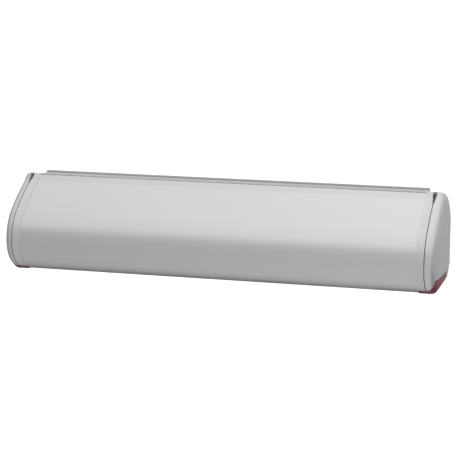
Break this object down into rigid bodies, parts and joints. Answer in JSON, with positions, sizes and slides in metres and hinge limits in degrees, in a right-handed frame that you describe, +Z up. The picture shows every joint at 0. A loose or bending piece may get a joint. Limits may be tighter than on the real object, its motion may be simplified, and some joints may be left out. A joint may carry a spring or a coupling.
{
  "type": "roll out awning",
  "caption": "Compact cassette roll-out awning for a camper or caravan wall: case, spring roller and canopy, sliding lead bar with folding legs, domed end caps and corner release levers",
  "frame": {"origin": "in the wall face of the case, at mid length and mid height", "axes": "+X along the awning to its right end, -Y away from the wall, +Z up"},
  "size_m": [0.4742, 0.0866, 0.0998],
  "materials": {
    "panel": "satin light grey powder coat",
    "case": "satin light grey powder coat",
    "cap": "light grey moulded plastic with a fine grain",
    "plate": "dark grey moulded plastic",
    "lever": "dark red moulded plastic",
    "seal": "black extruded rubber",
    "canopy": "coated grey canopy cloth",
    "steel": "galvanised steel",
    "spring": "oiled spring steel",
    "moulding": "black glass filled nylon",
    "leg": "natural anodised extrusion",
    "fixings": "stainless steel"
  },
  "bodies": {
    "case": {"bearing_bush": "moulding", "bracket_channel": "case", "case_back": "case", "end_cap_left": "cap", "end_cap_right": "cap", "end_cap_screws_left": "fixings", "end_cap_screws_right": "fixings", "end_plate_left": "plate", "end_plate_right": "plate", "end_plate_screws_left": "fixings", "end_plate_screws_right": "fixings", "lever_pin_left": "fixings", "lever_pin_right": "fixings", "lever_spring_left": "spring", "lever_spring_right": "spring", "lip_seal": "seal", "mandrel_anchor": "moulding", "rafter_clips": "moulding", "rafter_ends_lower": "moulding", "rafter_ends_upper": "moulding", "rafter_inner_lower": "leg", "rafter_inner_upper": "leg", "rafter_tube_lower": "leg", "rafter_tube_upper": "leg", "spring_mandrel": "steel", "torsion_spring": "spring", "wall_gasket": "seal"},
    "lead_bar": {"lead_bar": "panel", "lead_bar_band_left": "cap", "lead_bar_band_right": "cap", "band_screws": "fixings", "canopy_keder": "canopy", "canopy_sheet": "canopy", "leg_bracket_left": "leg", "leg_bracket_right": "leg", "leg_pivot_pin_left": "fixings", "leg_pivot_pin_right": "fixings"},
    "roller": {"roller_tube": "steel", "canopy_roll": "canopy", "roller_plug_left": "moulding", "roller_plug_right": "moulding"},
    "release_lever_left": {"release_lever_left": "lever"},
    "leg_left": {"leg_head_left": "moulding", "leg_tube_left": "leg", "leg_collar_left": "moulding", "leg_clamp_pin_left": "fixings"},
    "leg_inner_left": {"leg_inner_tube_left": "leg", "leg_tip_left": "moulding"},
    "leg_foot_left": {"leg_foot_left": "moulding"},
    "leg_clamp_left": {"leg_clamp_left": "moulding"},
    "release_lever_right": {"release_lever_right": "lever"},
    "leg_right": {"leg_head_right": "moulding", "leg_tube_right": "leg", "leg_collar_right": "moulding", "leg_clamp_pin_right": "fixings"},
    "leg_inner_right": {"leg_inner_tube_right": "leg", "leg_tip_right": "moulding"},
    "leg_foot_right": {"leg_foot_right": "moulding"},
    "leg_clamp_right": {"leg_clamp_right": "moulding"}
  },
  "joints": [
    {"name": "lead_bar_slide", "type": "slide", "parent": "case", "child": "lead_bar", "axis": [0, -1, 0], "range_m": [0, 1.2], "deforming": ["canopy_sheet"]},
    {"name": "roller_turn", "type": "hinge", "parent": "case", "child": "roller", "pos_m": [0, -0.031, 0.008], "axis": [1, 0, 0], "range_deg": [0, 3300]},
    {"name": "release_lever_left_press", "type": "hinge", "parent": "case", "child": "release_lever_left", "pos_m": [-0.22, -0.014, -0.0481], "axis": [1, 0, 0], "range_deg": [0, 28], "stiffness_Nm_per_rad": 0.05, "springref_deg": -20.05},
    {"name": "leg_left_fold", "type": "hinge", "parent": "lead_bar", "child": "leg_left", "pos_m": [-0.2035, -0.0502, -0.0315], "axis": [0, 1, 0], "range_deg": [0, 90]},
    {"name": "leg_left_extend", "type": "slide", "parent": "leg_left", "child": "leg_inner_left", "axis": [1, 0, 0], "range_m": [0, 0.27]},
    {"name": "leg_left_foot_turn", "type": "hinge", "parent": "leg_inner_left", "child": "leg_foot_left", "pos_m": [0.18645, -0.0502, -0.0315], "axis": [0, -1, 0], "range_deg": [0, 90]},
    {"name": "leg_left_clamp_turn", "type": "hinge", "parent": "leg_left", "child": "leg_clamp_left", "pos_m": [0.13245, -0.0502, -0.0426], "axis": [0, -1, 0], "range_deg": [0, 80]},
    {"name": "release_lever_right_press", "type": "hinge", "parent": "case", "child": "release_lever_right", "pos_m": [0.22, -0.014, -0.0481], "axis": [1, 0, 0], "range_deg": [0, 28], "stiffness_Nm_per_rad": 0.05, "springref_deg": -20.05},
    {"name": "leg_right_fold", "type": "hinge", "parent": "lead_bar", "child": "leg_right", "pos_m": [0.2035, -0.0376, -0.0315], "axis": [0, -1, 0], "range_deg": [0, 90]},
    {"name": "leg_right_extend", "type": "slide", "parent": "leg_right", "child": "leg_inner_right", "axis": [-1, 0, 0], "range_m": [0, 0.27]},
    {"name": "leg_right_foot_turn", "type": "hinge", "parent": "leg_inner_right", "child": "leg_foot_right", "pos_m": [-0.18645, -0.0376, -0.0315], "axis": [0, 1, 0], "range_deg": [0, 90]},
    {"name": "leg_right_clamp_turn", "type": "hinge", "parent": "leg_right", "child": "leg_clamp_right", "pos_m": [-0.13245, -0.0376, -0.0426], "axis": [0, 1, 0], "range_deg": [0, 80]}
  ],
  "couplings": [
    {"joint": "roller_turn", "follows": "lead_bar_slide", "rad_per_m": 47.6},
    {"joint": "leg_left_extend", "follows": "leg_left_fold", "m_per_rad": 0.17},
    {"joint": "leg_right_extend", "follows": "leg_right_fold", "m_per_rad": 0.17}
  ]
}
